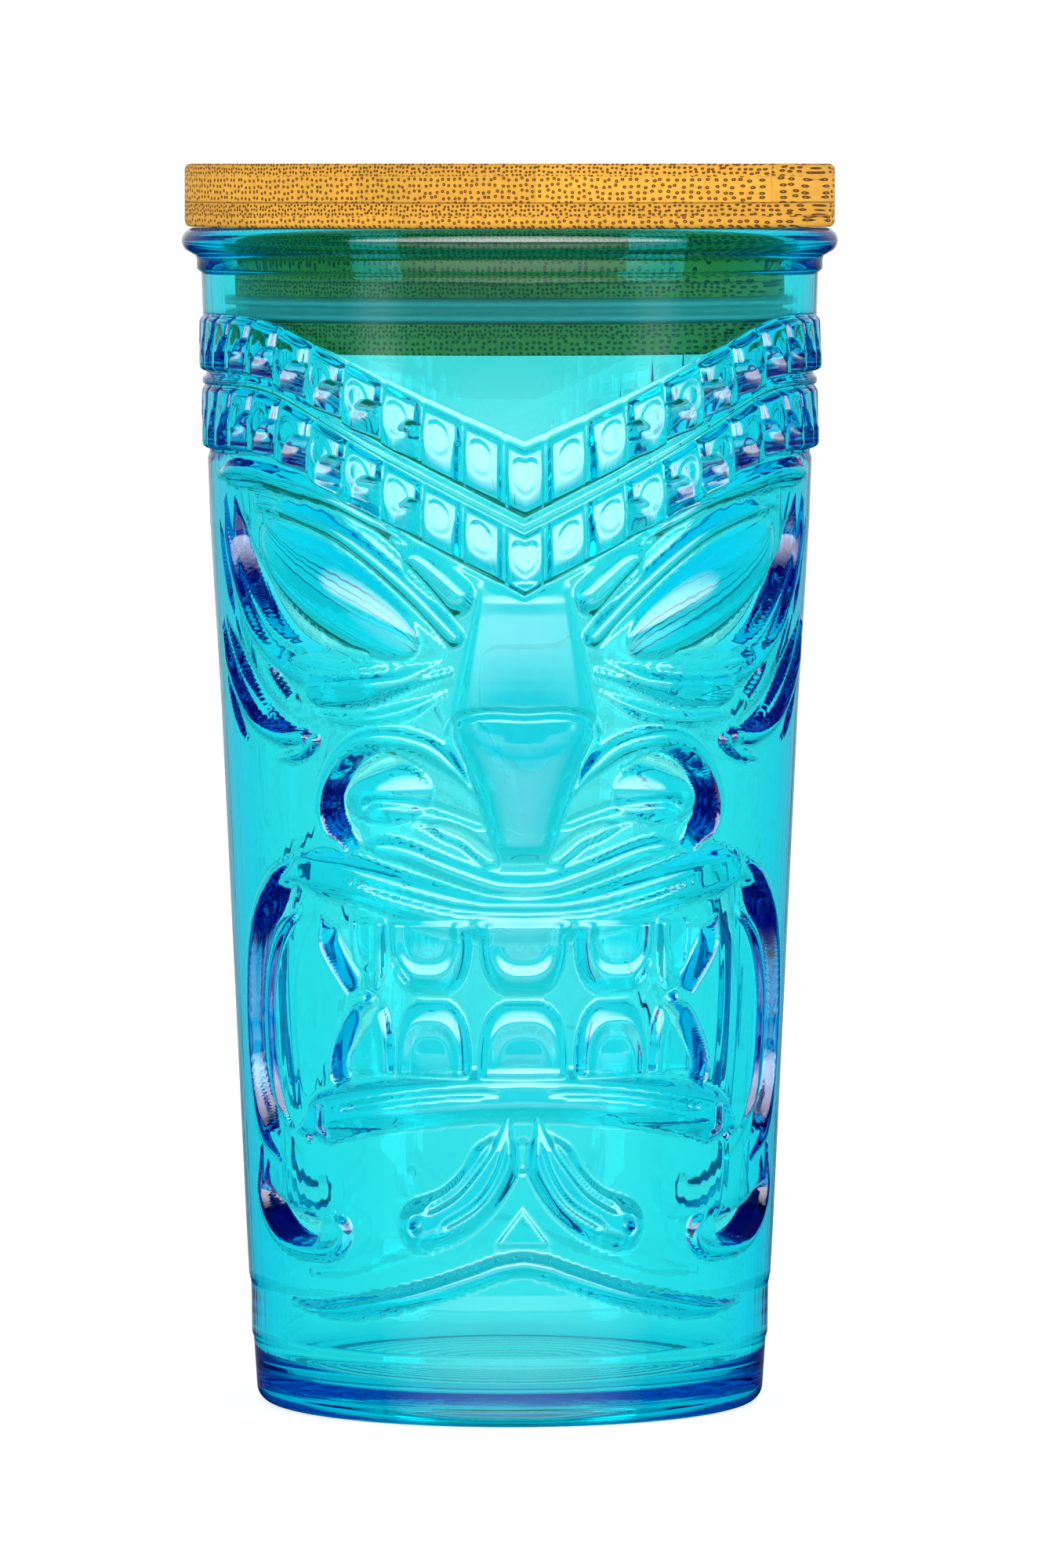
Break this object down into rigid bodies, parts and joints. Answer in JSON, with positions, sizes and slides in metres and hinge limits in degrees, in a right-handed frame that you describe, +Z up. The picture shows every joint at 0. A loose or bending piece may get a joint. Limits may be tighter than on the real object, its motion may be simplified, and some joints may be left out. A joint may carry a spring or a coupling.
{
  "type": "tiki mug",
  "caption": "Tapered pressed-glass tumbler with a tiki face in relief on front and back, closed by a lift-off laminated bamboo lid with a silicone seal ring.",
  "frame": {"origin": "centre of the foot ring, on the surface the mug stands on", "axes": "+Z up along the mug's axis, -Y towards the viewer of the front face, +X to that viewer's right"},
  "size_m": [0.0874, 0.0874, 0.1653],
  "materials": {
    "glass": "clear aqua tint, fire-polished",
    "bamboo": "fine-sanded, oiled, end grain dotted with brown pores",
    "silicone": "translucent satin"
  },
  "bodies": {
    "tumbler": {"glass_tumbler": "glass"},
    "lid": {"lid_seal_ring": "silicone", "disc_slat_1": "bamboo", "disc_slat_2": "bamboo", "disc_slat_3": "bamboo", "disc_slat_4": "bamboo", "disc_slat_5": "bamboo", "step_slat_1": "bamboo", "step_slat_2": "bamboo", "step_slat_3": "bamboo", "step_slat_4": "bamboo", "plug_slat_1": "bamboo", "plug_slat_2": "bamboo", "plug_slat_3": "bamboo", "plug_slat_4": "bamboo", "groove_slat_1": "bamboo", "groove_slat_2": "bamboo", "groove_slat_3": "bamboo", "groove_slat_4": "bamboo", "flange_slat_1": "bamboo", "flange_slat_2": "bamboo", "flange_slat_3": "bamboo", "flange_slat_4": "bamboo"}
  },
  "joints": [
    {"name": "lid_lift", "type": "slide", "parent": "tumbler", "child": "lid", "axis": [0, 0, 1], "range_m": [0, 0.08]}
  ]
}
